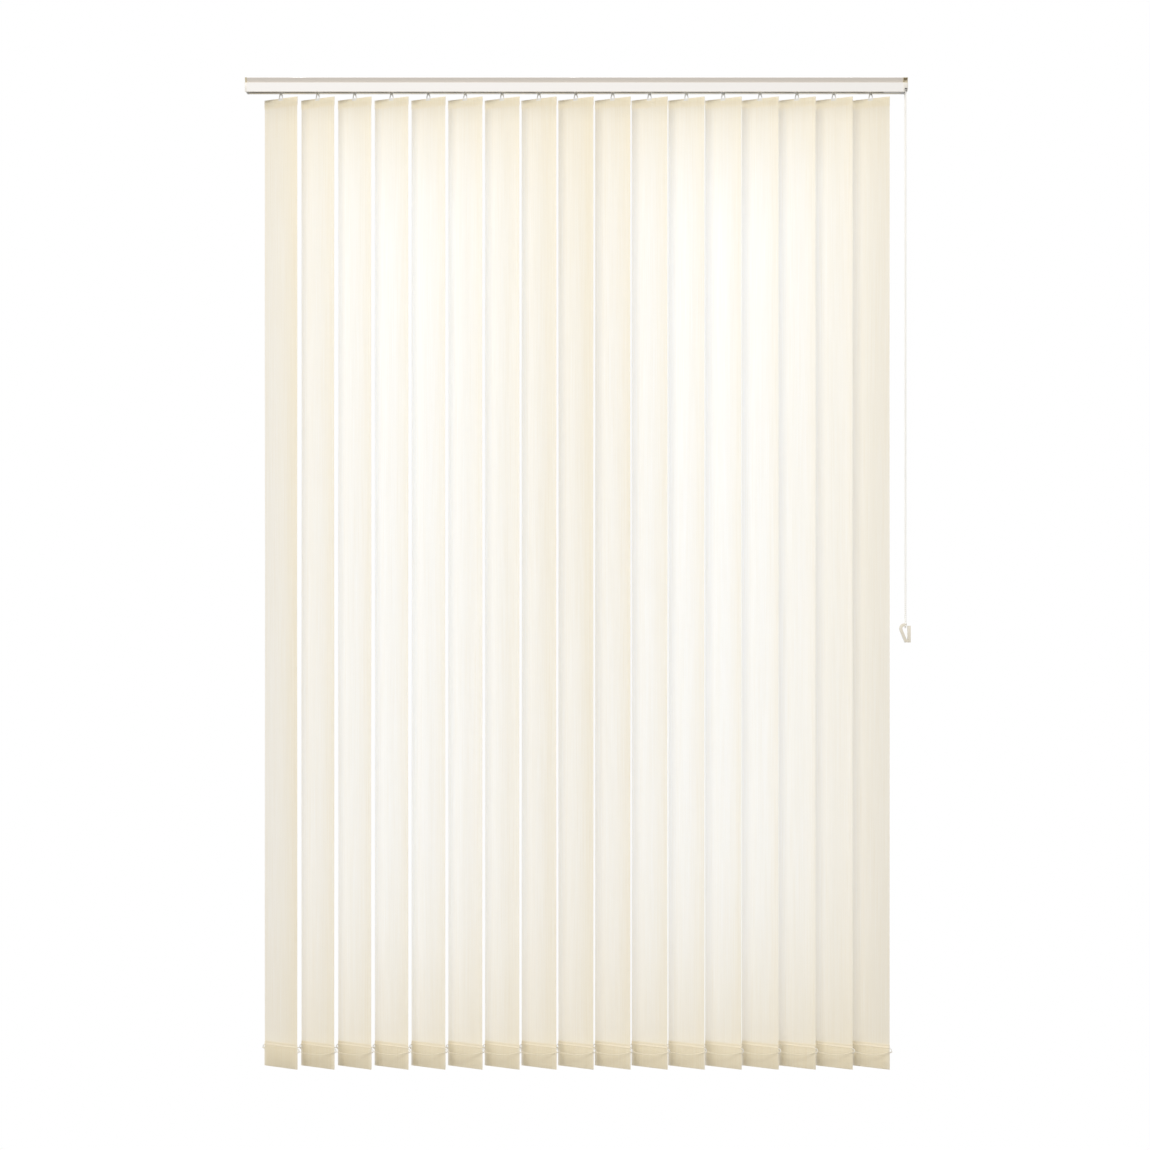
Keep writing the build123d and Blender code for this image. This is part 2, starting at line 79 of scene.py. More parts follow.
class BlindSizes(bpy.types.PropertyGroup):
    """Sizes of the dressed pieces, the same as in the part's source where both have them"""

    slat_pitch: size("Slat pitch", "Pivot to pivot along the rail", 80)
    first_pivot: size("First pivot", "Place of the first slat's pivot along the rail", -641.2)
    slat_width: size("Slat width", "Width of a cloth slat", 86)
    slat_top: size("Slat top", "Height of the slats' top fold", -43.7)
    slat_bottom: size("Slat bottom", "Height of the slats' bottom fold", -2147.2)
    slat_tilt: FloatProperty(
        name="Slat tilt",
        description="Turn of the slats out of the blind's plane at rest",
        default=radians(28),
        subtype="ANGLE",
    )
    cloth_thick: size("Cloth thickness", "Thickness of the woven cloth", 0.5)
    cloth_bow: size("Cloth bow", "How far a slat's middle stands off its edges", 1.6)
    cloth_wave: size("Cloth wave", "How far a slat's edges wave along its length", 0.5)
    top_pocket: size("Top pocket", "Height of the pocket for the hanger", 20)
    bottom_pocket: size("Bottom pocket", "Height of the pocket for the weight", 50)
    pocket_thick: size("Pocket thickness", "Outside thickness of both pockets", 3)
    pocket_taper: size("Pocket taper", "Height over which a pocket runs out at its seam", 3)
    seam_rest: size("Seam rest", "How far a pocket's edge stands off the slat at its seam", 0.3)
    hem_band: size("Hem band", "Height of the bonded band along the bottom pocket", 8.5)
    hem_rise: size("Hem rise", "Top of the hem band above the bottom pocket's seam", 4.5)
    hem_stand: size("Hem stand", "Top of the hem band off the middle of the cloth", 0.35)
    hem_sink: size("Hem sink", "How much closer the hem band lies on the pocket", 0.15)
    hem_crown: size("Hem crown", "How far the hem band is pressed out at its middle", 0.25)
    hanger_length: size("Hanger length", "Length of the plate in the top pocket", 76)
    hanger_height: size("Hanger height", "Height of the plate in the top pocket", 13)
    hanger_corner_r: size("Hanger corner radius", "Corners of the hanger's outline", 1)
    plate_thick: size("Plate thickness", "Thickness of hanger, weight and rings", 1.8)
    plate_edge_r: size("Plate edge radius", "Edges of hanger, weight and pinion", 0.3)
    eye_rise: size("Eye rise", "Height of the hanger's eye above the slat", 10.6)
    eye_top_width: size("Eye top width", "Width of the eye at its top bar", 6)
    eye_base_width: size("Eye base width", "Width of the eye at the slat", 11)
    eye_bar: size("Eye bar", "Height of the eye's top bar", 2.2)
    eye_side: size("Eye side", "Width of the eye's two legs", 2.1)
    eye_corner_r: size("Eye corner radius", "Corners of the opening in the eye", 0.5)
    eye_clear: size("Eye clearance", "Room round the eye, in the cloth and for the hook", 0.3)
    window_depth: size("Window depth", "How far the cut round the eye reaches down the slat", 5)
    fold_crown: size("Fold crown", "Cloth and slack above the hanger and below the weight", 0.9)
    seat: size("Seat gap", "Gap where a fitting bears on the next piece", 0.05)
    weight_length: size("Weight length", "Length of the plate in the bottom pocket", 76)
    weight_height: size("Weight height", "Height of the plate in the bottom pocket", 42)
    weight_corner_r: size("Weight corner radius", "Corners of the weight's outline", 2.5)
    ring_rise: size("Ring rise", "Ring middle above the slat's bottom fold", 41)
    ring_r: size("Ring radius", "Outer radius of the weight's end rings", 6)
    ring_hole_r: size("Ring hole radius", "Inner radius of the weight's end rings", 4.2)
    ring_edge_r: size("Ring edge radius", "Edges of the weight's end rings", 0.5)
    stem_r: size("Stem radius", "Radius of the pinion's stem", 1.6)
    collar_r: size("Collar radius", "Radius of the stem's collar under the rail", 4.6)
    collar_height: size("Collar height", "Height of the stem's collar under the rail", 2.6)
    pinion_r: size("Pinion radius", "Tip radius of the pinion", 3.8)
    pinion_root_r: size("Pinion root radius", "Root radius of the pinion", 2.9)
    pinion_height: size("Pinion height", "Height of the pinion", 6)
    hook_bar: size("Hook bar", "Thickness of the hook under the stem", 1.6)
    hook_root: size("Hook root", "Start of the hook inside the stem, above its upper bend", 2)
    hook_shoulder: size("Hook shoulder", "Height over which the hook turns down", 1.6)
    hook_tip: size("Hook tip", "Height of the hook's tip above its cup", 2.4)
    stem_foot: size("Stem foot", "End of the stem above the hook's upper bend", 0.4)
    box_middle: size("Rod height", "Height of the tilt rod's axis", -21.45)
    rod_setback: size("Rod setback", "Tilt rod's axis behind the slats' pivots", -7.6)
    rail_bottom: size("Rail underside", "Height of the rail's underside", -30.5)
    # Painted shade: above this height the rail's and caps' channel is painted darker for the shade in
    # the undercut
    channel_shade_foot: size("Channel foot", "Height where the grey of the rail's channel ends", -13.5)
    cap_edge: size("Cap edge", "Easing of the end caps' edges", 0.25)
    bracket_edge: size("Bracket edge", "Easing of the brackets' edges", 0.3)
    tidy_edge: size("Tidy edge", "Easing of the chain tidy's edges", 0.5)
    chain_x: size("Chain place", "Place of the bead chain along the rail", 712.8)
    wheel_r: size("Wheel radius", "Radius of the bead chain's bends", 5.7296)
    bend_z: size("Lower bend", "Height of the middle of the chain's lower bend", -1186.2)
    bead_r: size("Bead radius", "Radius of the control chain's beads", 1.75)
    bead_pitch: size("Bead pitch", "Bead to bead on the control chain", 4.5)
    joint_gap: size("Joint gap", "Gap where the control chain's ends meet", 0.6)
    link_r: size("Link bead radius", "Radius of the bottom chains' beads", 0.9)
    link_pitch: size("Link pitch", "Bead to bead on the bottom chains", 2.6)
    link_gap: size("Link gap", "First bead of a bottom chain from the ring's bar", 2.6)
    link_eye_length: size("Link eye length", "Length of the wire eye round a ring's bar", 4.4)
    link_eye_width: size("Link eye width", "Width of the wire eye round a ring's bar", 3.2)
    link_eye_wire_r: size("Link eye wire radius", "Radius of the wire eye's wire", 0.35)
    link_hang: size("Link hang", "Bottom chains' ends below the ring middle", 2)
    link_sag: size("Link sag", "Sag of the bottom chains between two slats", 6)


class BlindColours(bpy.types.PropertyGroup):
    """Colours of the finishes"""

    cloth_front: colour("Cloth", "Cloth by the light that falls on it", "f4e9cd")
    cloth_slub: colour("Cloth slub", "Thicker yarns in the cloth", "f1e4c5")
    cloth_through: colour("Cloth lit through", "Cloth by the light that comes through it", "ffffff")
    slub_through: colour("Slub lit through", "Thicker yarns by the light that comes through", "f9f7f2")
    # Painted highlight: paler than the cloth, for the light that the pocket's sloped rim catches
    hem: colour("Hem band", "Bonded band along the bottom pocket", "fdfaf2")
    rail: colour("Rail", "Powder coat of the head rail", "dfdddb")
    # Painted shade: the shade in the undercut channel, painted as a greyer colour
    rail_channel_painted_shade: colour("Rail channel", "Undercut channel above the rail's shoulder", "d0cac3")
    # Painted light: a paler, warmer colour on the faces that look down, standing in for light reaching
    # the underside
    rail_underside_painted_light: colour("Rail underside", "Thin coat on the faces that look down", "fdf2da")
    cap: colour("End caps", "Moulded end caps", "dad6cf")
    # Painted shade: the caps where they close the channel, painted darker for the shade there
    cap_channel_painted_shade: colour("Cap channel", "End caps above the rail's shoulder", "c0b59c")
    tidy: colour("Chain tidy", "Moulded chain tidy", "dcd6c8")
    fitting: colour("Fittings", "Hangers, hooks and ring clips", "f8f7f4")
    weight: colour("Weights", "Coat of the bottom weights", "f0ebde")
    carrier: colour("Carriers", "Carrier trucks and their strips", "ece9e2")
    chain: colour("Control chain", "Beads of the control chain", "f4f2ec")
    link: colour("Bottom chains", "Beads of the bottom chains", "e6ddc8")
    zinc: colour("Brackets", "Zinc-plated steel", "c9cbcc")
    rod: colour("Tilt rod", "Drawn aluminium", "c6c7c9")
    floor: colour("Floor", "Pale studio floor", "f1efec")


def node(tree, kind, values=None, links=None, **settings):
    """Add a shader node with its settings, its sockets' values and its links."""
    made = tree.nodes.new(kind)
    for name, value in settings.items():
        setattr(made, name, value)
    for name, value in (values or {}).items():
        made.inputs[name].default_value = value
    for name, socket in (links or {}).items():
        tree.links.new(socket, made.inputs[name])
    return made


def new_material(name):
    made = bpy.data.materials.new(name)
    made.use_nodes = True
    made.node_tree.nodes.clear()
    return made, made.node_tree


def finish_material(tree, shader):
    node(tree, "ShaderNodeOutputMaterial", links={"Surface": shader.outputs[0]})


def mix(tree, values, links, blend_type="MIX"):
    """A mix of the colours A and B."""
    made = node(tree, "ShaderNodeMix", values, links, data_type="RGBA", blend_type=blend_type)
    return made.outputs["Result"]


def noise(tree, place, width, detail):
    """Cloudy noise with patches of about this width."""
    values = {"Scale": 1 / width, "Detail": detail}
    return node(tree, "ShaderNodeTexNoise", values, {"Vector": place}).outputs[0]


def stretch(tree, place, lengths):
    """A place counted in these lengths along X, Y and Z."""
    values = {"Scale": [1 / length for length in lengths]}
    return node(tree, "ShaderNodeMapping", values, {"Vector": place}).outputs[0]


def bands(tree, place, direction, distortion):
    """Soft bands, about 0.63 of the place's unit apart."""
    values = {"Scale": 0.5, "Distortion": distortion}
    made = node(tree, "ShaderNodeTexWave", values, {"Vector": place}, bands_direction=direction)
    return made.outputs["Fac"]


def relief(tree, height, strength, depth):
    """A normal that follows a height."""
    values = {"Strength": strength, "Distance": depth}
    return node(tree, "ShaderNodeBump", values, {"Height": height}).outputs[0]


def two_tone(tree, place, low, high, split):
    """One colour below a height and another above it."""
    height = node(tree, "ShaderNodeSeparateXYZ", links={0: place}).outputs["Z"]
    above = node(tree, "ShaderNodeMath", {1: split}, {0: height}, operation="GREATER_THAN")
    return mix(tree, {"A": (*low, 1), "B": (*high, 1)}, {"Factor": above.outputs[0]})


def moulded(name, base, roughness, mottle, grain_mm, painted_shade_above=None, split=0, milky=0):
    """Moulded plastic: an even gloss over a faintly clouded colour, with the tool's fine grain."""
    made, tree = new_material(name)
    cloud_width = 14 * MM
    grain_depth = 0.08 * MM
    place = node(tree, "ShaderNodeTexCoord").outputs["Object"]
    # A colour above the split height, when given, is painted shade
    tone = two_tone(tree, place, base, painted_shade_above or base, split)
    cloud = noise(tree, place, cloud_width, detail=2)
    tint = mix(tree, {"B": (mottle, mottle, mottle, 1)}, {"Factor": cloud, "A": tone}, "MULTIPLY")
    grain = noise(tree, place, grain_mm * MM, detail=2)
    shader = node(
        tree,
        "ShaderNodeBsdfPrincipled",
        {"Roughness": roughness, "IOR": 1.49},
        {"Base Color": tint, "Normal": relief(tree, grain, strength=0.15, depth=grain_depth)},
    )
    if milky:
        glow = node(tree, "ShaderNodeBsdfTranslucent", links={"Color": tint})
        shader = node(
            tree, "ShaderNodeMixShader", {0: milky}, {1: shader.outputs[0], 2: glow.outputs[0]}
        )
    finish_material(tree, shader)
    return made


def dress(name, material):
    """Give a CAD node its finish."""
    mesh = nodes[name].data
    mesh.materials.clear()
    mesh.materials.append(material)


def piece(name, mesh, material, body, place=Matrix.Identity(4)):
    """A new piece of the object, riding on a body."""
    made = bpy.data.objects.new(name, mesh)
    bpy.context.scene.collection.objects.link(made)
    if material.name not in mesh.materials:
        mesh.materials.append(material)
    made.matrix_world = place
    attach(made, body)
    return made


def shade(mesh, degrees=38):
    mesh.shade_smooth()
    mesh.set_sharp_from_angle(angle=radians(degrees))
    return mesh


def mesh_of_curve(curve):
    holder = bpy.data.objects.new("outline", curve)
    mesh = bpy.data.meshes.new_from_object(holder)
    bpy.data.objects.remove(holder)
    bpy.data.curves.remove(curve)
    return mesh


def smooth_route(points, steps):
    """Points along the NURBS spline that has these control points."""
    curve = bpy.data.curves.new("route", "CURVE")
    curve.dimensions = "3D"
    curve.resolution_u = steps
    spline = curve.splines.new("NURBS")
    spline.points.add(len(points) - 1)
    for point, place in zip(spline.points, points):
        point.co = (*place, 1)
    spline.order_u = 3
    spline.use_endpoint_u = True
    mesh = mesh_of_curve(curve)
    found = [v.co.copy() for v in mesh.vertices]
    bpy.data.meshes.remove(mesh)
    return found


def spaced(points, step):
    """Points at equal steps along a line of points."""
    found, left = [points[0].copy()], step
    for here, there in zip(points, points[1:]):
        run = (there - here).length
        while left <= run:
            found.append(here.lerp(there, left / run))
            left += step
        left -= run
    return found


def tube(bm, points, radius, sides):
    """A round bar along a line of points, closed at both ends."""
    across = (points[1] - points[0]).orthogonal().normalized()
    rings = []
    for index, point in enumerate(points):
        along = points[min(index + 1, len(points) - 1)] - points[max(index - 1, 0)]
        along.normalize()
        across = (across - along * across.dot(along)).normalized()
        side = along.cross(across)
        turns = [2 * pi * k / sides for k in range(sides)]
        spokes = [cos(t) * across + sin(t) * side for t in turns]
        rings.append([bm.verts.new(point + radius * spoke) for spoke in spokes])
    for low, high in zip(rings, rings[1:]):
        for k in range(sides):
            bm.faces.new((low[k], low[k - 1], high[k - 1], high[k]))
    bm.faces.new(rings[0])
    bm.faces.new(reversed(rings[-1]))


def plate(outlines, thick, edge):
    """A flat plate in the XY plane with rounded edges, from its outline and those of its holes."""
    curve = bpy.data.curves.new("plate", "CURVE")
    curve.dimensions = "2D"
    curve.fill_mode = "BOTH"
    curve.extrude = thick / 2 - edge
    curve.bevel_depth = edge
    curve.bevel_resolution = 2
    curve.offset = -edge
    for outline in outlines:
        spline = curve.splines.new("POLY")
        spline.points.add(len(outline) - 1)
        for point, (x, y) in zip(spline.points, outline):
            point.co = (x, y, 0, 1)
        spline.use_cyclic_u = True
    return mesh_of_curve(curve)


def circle(x, y, radius, sides=28):
    turns = [2 * pi * k / sides for k in range(sides)]
    return [(x + radius * cos(t), y + radius * sin(t)) for t in turns]


def rounded(corners, radius, steps=4):
    """An outline with each corner eased over this radius."""
    found = []
    count = len(corners)
    for index, corner in enumerate(corners):
        here = Vector(corner)
        before = (Vector(corners[index - 1]) - here).normalized() * radius
        after = (Vector(corners[(index + 1) % count]) - here).normalized() * radius
        for k in range(steps + 1):
            t = k / steps
            found.append(tuple(here + (1 - t) ** 2 * before + t**2 * after))
    return found


def joined(parts):
    """One mesh out of several, each moved by its matrix."""
    bm = bmesh.new()
    for mesh, place in parts:
        mesh.transform(place)
        bm.from_mesh(mesh)
        bpy.data.meshes.remove(mesh)
    bmesh.ops.remove_doubles(bm, verts=bm.verts, dist=WELD)
    bmesh.ops.recalc_face_normals(bm, faces=bm.faces)
    made = bpy.data.meshes.new("joined")
    bm.to_mesh(made)
    bm.free()
    return made


def eased(name, edge):
    """A copy of a CAD node with its edges eased, to stand for the node."""
    flat, sharp = radians(1), radians(35)
    bm = bmesh.new()
    bm.from_mesh(nodes[name].data)
    bmesh.ops.remove_doubles(bm, verts=bm.verts, dist=WELD)
    bmesh.ops.dissolve_limit(
        bm, angle_limit=flat, verts=bm.verts, edges=bm.edges, delimit={"NORMAL"}
    )
    edges = [e for e in bm.edges if len(e.link_faces) == 2 and e.calc_face_angle() > sharp]
    bmesh.ops.bevel(
        bm, geom=edges, offset=edge, segments=2, profile=0.6, affect="EDGES", clamp_overlap=True
    )
    made = bpy.data.meshes.new(name + "_eased")
    bm.to_mesh(made)
    bm.free()
    return shade(made)


def strand(name, runs, bead_r, wire_r, pitch):
    """Beads at a fixed pitch on a thin wire, along each run of points."""
    bm = bmesh.new()
    ball = bmesh.new()
    bmesh.ops.create_uvsphere(ball, u_segments=10, v_segments=7, radius=bead_r)
    corners = [v.co.copy() for v in ball.verts]
    faces = [[v.index for v in f.verts] for f in ball.faces]
    ball.free()
    for run in runs:
        tube(bm, run, wire_r, sides=6)
        for middle in spaced(run, pitch):
            made = [bm.verts.new(middle + corner) for corner in corners]
            for face in faces:
                bm.faces.new([made[k] for k in face])
    mesh = bpy.data.meshes.new(name)
    bm.to_mesh(mesh)
    bm.free()
    mesh.shade_smooth()
    return mesh


def hung(s, index):
    """Where slat and fittings hang: turned about their pivot."""
    pivot = (s.first_pivot + index * s.slat_pitch, 0, 0)
    return Matrix.Translation(pivot) @ Matrix.Rotation(-s.slat_tilt, 4, "Z")


def ring_place(s, index, side):
    """The outer bar of one of a slat's end rings."""
    reach = s.slat_width / 2 + (s.ring_r + s.ring_hole_r) / 2 * FLAT_SHARE
    return hung(s, index) @ Vector((side * reach, 0, s.slat_bottom + s.ring_rise))


class BLIND_OT_stage(bpy.types.Operator):
    """Camera, soft studio lights and a pale floor"""

    bl_idname = "blind.stage"
    bl_label = "Stage"

    def execute(self, context):
        scene = context.scene
        scene.view_settings.view_transform = "Standard"
        camera = bpy.data.objects.new("camera", bpy.data.cameras.new("camera"))
        camera.data.sensor_width = 36
        camera.data.lens = 64.9
        camera.location = (-0.003, -4.5, -1.078)
        camera.rotation_euler = (pi / 2, 0, 0)
        scene.collection.objects.link(camera)
        scene.camera = camera

        world = bpy.data.worlds.new("studio")
        scene.world = world
        world.use_nodes = True
        tree = world.node_tree
        tree.nodes.clear()
        seen = node(tree, "ShaderNodeLightPath").outputs["Is Camera Ray"]
        ray = node(tree, "ShaderNodeTexCoord").outputs["Generated"]
        rise = node(tree, "ShaderNodeSeparateXYZ", links={0: ray}).outputs["Z"]
        # The room is bright above and dim near the floor
        level = node(
            tree,
            "ShaderNodeMapRange",
            {"From Min": -0.6, "From Max": 0.15, "To Min": 0.27, "To Max": 0.8},
            {"Value": rise},
            interpolation_type="SMOOTHSTEP",
        )
        soft = node(
            tree, "ShaderNodeBackground", {"Color": (1, 0.975, 0.93, 1)}, {"Strength": level.outputs[0]}
        )
        white = node(tree, "ShaderNodeBackground", {"Color": (1, 1, 1, 1), "Strength": 1})
        both = node(
            tree, "ShaderNodeMixShader", links={0: seen, 1: soft.outputs[0], 2: white.outputs[0]}
        )
        node(tree, "ShaderNodeOutputWorld", links={"Surface": both.outputs[0]})

        # A large, soft key high on the left, aimed past the blind to light it evenly
        key_place, key_aim = (-1.4, -5.5, 2.7), (2.5, 0, 0.6)
        key = bpy.data.lights.new("key", "AREA")
        key.shape = "RECTANGLE"
        key.size = 4.5
        key.size_y = 1.8
        key.energy = 322
        lamps = [("key", key, key_place, key_aim)]
        # Two bluish panels close behind the slats, for the light that comes through the cloth
        panels = (("back_left", -0.31, 0.5, 2.5), ("back_right", 0.385, 0.55, 2.9))
        panel_setback, panel_middle, panel_aim = 0.22, -1.055, -1.0685
        for name, x, width, watts in panels:
            panel = bpy.data.lights.new(name, "AREA")
            panel.shape = "RECTANGLE"
            panel.size = width
            panel.size_y = 1.87
            panel.energy = watts
            panel.color = (0.44, 0.63, 1)
            lamps.append((name, panel, (x, panel_setback, panel_middle), (x, 0, panel_aim)))
        for name, data, place, aim in lamps:
            lamp = bpy.data.objects.new(name, data)
            lamp.location = place
            lamp.rotation_euler = (Vector(aim) - Vector(place)).to_track_quat("-Z", "Y").to_euler()
            lamp.visible_camera = False
            scene.collection.objects.link(lamp)

        # Pale painted floor, which fades out so that it has no edge
        floor_height = -2.6
        grit_width, grit_depth = 8 * MM, 0.3 * MM
        floor_material, tree = new_material("painted_studio_floor")
        place = node(tree, "ShaderNodeTexCoord").outputs["Object"]
        far = node(tree, "ShaderNodeVectorMath", links={0: place}, operation="LENGTH")
        fade = node(
            tree,
            "ShaderNodeMapRange",
            {"From Min": 0.45, "From Max": 0.98, "To Min": 0, "To Max": 1},
            {"Value": far.outputs["Value"]},
            interpolation_type="SMOOTHSTEP",
        )
        grit = noise(tree, place, grit_width, detail=3)
        paint = node(
            tree,
            "ShaderNodeBsdfPrincipled",
            {"Base Color": (*scene.blind_colours.floor, 1), "Roughness": 0.6},
            {"Normal": relief(tree, grit, strength=0.1, depth=grit_depth)},
        )
        clear = node(tree, "ShaderNodeBsdfTransparent")
        mixed = node(
            tree,
            "ShaderNodeMixShader",
            links={0: fade.outputs[0], 1: paint.outputs[0], 2: clear.outputs[0]},
        )
        finish_material(tree, mixed)
        bm = bmesh.new()
        bmesh.ops.create_circle(bm, cap_ends=True, segments=64, radius=1)
        mesh = bpy.data.meshes.new("floor")
        bm.to_mesh(mesh)
        bm.free()
        mesh.materials.append(floor_material)
        floor = bpy.data.objects.new("floor", mesh)
        floor.location = (0, 0, floor_height)
        floor.visible_diffuse = False
        scene.collection.objects.link(floor)
        return {"FINISHED"}


class BLIND_OT_bead_chain(bpy.types.Operator):
    """Endless control chain over its wheel, down to the tidy and back"""

    bl_idname = "blind.bead_chain"
    bl_label = "Bead chain"

    def execute(self, context):
        s, c = context.scene.blind_sizes, context.scene.blind_colours
        # Moulded acetal: white beads with a wet-looking gloss
        material = moulded(
            "moulded_acetal_beads", c.chain, roughness=0.25, mottle=0.94, grain_mm=1.5
        )

        near = s.rod_setback - s.wheel_r
        far = s.rod_setback + s.wheel_r
        top = s.box_middle + s.wheel_r
        foot = s.bend_z - s.wheel_r
        straight = 6 * (2 * s.bead_r)  # six diameters from the wheel and from the tidy
        route = (
            (s.rod_setback, top),
            (near, top),
            (near, s.box_middle - straight),
            (near, s.bend_z + straight),
            (near, foot),
            (far, foot),
            (far, s.bend_z + straight),
            (far, s.box_middle - straight),
            (far, top),
            (s.rod_setback + s.joint_gap, top),
        )
        points = smooth_route([(s.chain_x, y, z) for y, z in route], steps=24)
        wire_r = 0.3 * s.bead_r
        mesh = strand("bead_chain_beads", [points], s.bead_r, wire_r, s.bead_pitch)
        chain = piece("bead_chain_beads", mesh, material, "rail_unit")
        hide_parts("bead_chain")
        return {"FINISHED"}


class BLIND_OT_bottom_chains(bpy.types.Operator):
    """Two light chains that link the slats' bottom rings, one on each edge"""

    bl_idname = "blind.bottom_chains"
    bl_label = "Bottom chains"

    def execute(self, context):
        s, c = context.scene.blind_sizes, context.scene.blind_colours
        # Moulded acetal: small pale beads with a soft gloss
        material = moulded(
            "moulded_acetal_link_beads", c.link, roughness=0.3, mottle=0.95, grain_mm=1
        )
        last = len(slat_numbers) - 1
        hang = Vector((0, 0, s.link_hang))
        step = Vector((s.slat_pitch, 0, 0))
        gap = Vector((s.link_gap, 0, 0))
        low = Vector((0, 0, -2 * s.link_sag))
        wire_r = 0.4 * s.link_r
        eye_x, eye_y = s.link_eye_length / 2, s.link_eye_width / 2
        around = [2 * pi * k / 16 for k in range(17)]
        for side, name in ((1, "front"), (-1, "rear")):
            runs, whole = [], []
            for index in range(last):
                start = ring_place(s, index, side) - hang
                end = start + step
                run = smooth_route([start + gap, (start + end) / 2 + low, end - gap], steps=16)
                runs.append(run)
                whole += [start, *run]
            whole.append(end)
            mesh = strand(f"{name}_links", runs, s.link_r, wire_r, s.link_pitch)
            bm = bmesh.new()
            bm.from_mesh(mesh)
            for index in range(last + 1):
                bar = ring_place(s, index, side) - hang
                loop = [bar + Vector((eye_x * cos(t), eye_y * sin(t), 0)) for t in around]
                tube(bm, loop, s.link_eye_wire_r, sides=6)
            bm.to_mesh(mesh)
            bm.free()
            mesh.shade_smooth()
            chain = piece(f"{name}_bottom_links", mesh, material, f"{name}_chain")
            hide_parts(f"{name}_bottom_chain")
            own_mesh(chain)
        return {"FINISHED"}


class BLIND_OT_slats(bpy.types.Operator):
    """Cloth slats, each one strip folded into a pocket at both ends"""

    bl_idname = "blind.slats"
    bl_label = "Slats"

    def cloth(self, c):
        # Woven polyester with slub yarns, stiffened: matt, streaked along the slat, and it glows
        # when lit from behind
        made, tree = new_material("woven_slub_polyester")
        yarn_width, yarn_length = 2.4 * MM, 160 * MM
        # The threads lie 0.4 mm apart, and are drawn 1 mm apart so that they show
        thread_unit, thread_depth = 1.6 * MM, 0.2 * MM
        place = node(tree, "ShaderNodeTexCoord").outputs["Object"]
        cut = node(tree, "ShaderNodeAttribute", attribute_name="cut").outputs["Fac"]
        yarns = stretch(tree, place, (yarn_width, yarn_width, yarn_length))
        slub = node(
            tree,
            "ShaderNodeTexNoise",
            {"Scale": 1, "Detail": 3, "Roughness": 0.6},
            {"Vector": yarns, "W": cut},
            noise_dimensions="4D",
        )
        threads = stretch(tree, place, (thread_unit, thread_unit, thread_unit))
        warp = bands(tree, threads, "X", distortion=0.6)
        weft = bands(tree, threads, "Z", distortion=0.8)
        weave = node(tree, "ShaderNodeMath", links={0: warp, 1: weft}, operation="MULTIPLY")
        normal = relief(tree, weave.outputs[0], strength=0.25, depth=thread_depth)
        ramp = node(
            tree,
            "ShaderNodeMapRange",
            {"From Min": 0.3, "From Max": 0.75, "To Min": 0, "To Max": 1},
            {"Value": slub.outputs[0]},
        )
        amount = {"Factor": ramp.outputs[0]}
        front = mix(tree, {"A": (*c.cloth_front, 1), "B": (*c.cloth_slub, 1)}, amount)
        through = mix(tree, {"A": (*c.cloth_through, 1), "B": (*c.slub_through, 1)}, amount)
        lit = node(
            tree,
            "ShaderNodeBsdfPrincipled",
            {
                "Roughness": 0.85,
                "Sheen Weight": 0.08,
                "Sheen Roughness": 0.5,
                "Specular IOR Level": 0.25,
            },
            {"Base Color": front, "Normal": normal},
        )
        glow = node(tree, "ShaderNodeBsdfTranslucent", links={"Color": through, "Normal": normal})
        mixed = node(
            tree, "ShaderNodeMixShader", {0: 0.5}, {1: lit.outputs[0], 2: glow.outputs[0]}
        )
        finish_material(tree, mixed)
        return made

    def hem(self, c):
        # Heat-bonded hem: pressed smooth, so it catches the light with a soft gloss; its paler colour
        # is painted highlight, for the light on the pocket's sloped rim
        made, tree = new_material("heat_bonded_polyester_hem")
        rib_unit, rib_depth = 1.8 * MM, 0.15 * MM
        place = node(tree, "ShaderNodeTexCoord").outputs["Object"]
        press = stretch(tree, place, (rib_unit, rib_unit, rib_unit))
        ribs = bands(tree, press, "X", distortion=0.4)
        # The ribs mix the painted-highlight hem colour with the cloth colour
        tint = mix(tree, {"A": (*c.hem, 1), "B": (*c.cloth_front, 1)}, {"Factor": ribs})
        lit = node(
            tree,
            "ShaderNodeBsdfPrincipled",
            {"Roughness": 0.55, "Specular IOR Level": 0.35},
            {"Base Color": tint, "Normal": relief(tree, ribs, strength=0.2, depth=rib_depth)},
        )
        glow = node(tree, "ShaderNodeBsdfTranslucent", links={"Color": tint})
        mixed = node(
            tree, "ShaderNodeMixShader", {0: 0.4}, {1: lit.outputs[0], 2: glow.outputs[0]}
        )
        finish_material(tree, mixed)
        return made

    def rows(self, s):
        """The strip's path from its top seam round both folds to its bottom seam.

        Each row has its place off the slat's middle, its height, and if the eye's cut reaches it.
        """
        half = (s.pocket_thick - s.cloth_thick) / 2
        crown = s.fold_crown
        top_seam = s.slat_top - s.top_pocket
        bottom_seam = s.slat_bottom + s.bottom_pocket
        turns = [pi * k / 8 for k in range(9)]
        path = [(s.seam_rest, top_seam, False), (half, top_seam + s.pocket_taper, False)]
        path += [(half, s.slat_top - s.window_depth, True)]
        for t in turns:
            rise = (crown - s.cloth_thick / 2) * sin(t)
            path.append((half * cos(t), s.slat_top - crown + rise, True))
        path += [(-half, s.slat_top - s.window_depth, True)]
        path += [(-half, top_seam + s.pocket_taper, False)]
        steps = 56
        for k in range(steps + 1):
            path.append((0, top_seam + (bottom_seam - top_seam) * k / steps, False))
        path.append((-half, bottom_seam - s.pocket_taper, False))
        path.append((-half, (bottom_seam + s.slat_bottom) / 2, False))
        for t in turns:
            fall = (crown - s.cloth_thick / 2) * sin(t)
            path.append((-half * cos(t), s.slat_bottom + crown - fall, False))
        path.append((half, (bottom_seam + s.slat_bottom) / 2, False))
        path.append((half, bottom_seam - s.pocket_taper, False))
        path.append((s.seam_rest, bottom_seam, False))
        return path, top_seam, bottom_seam

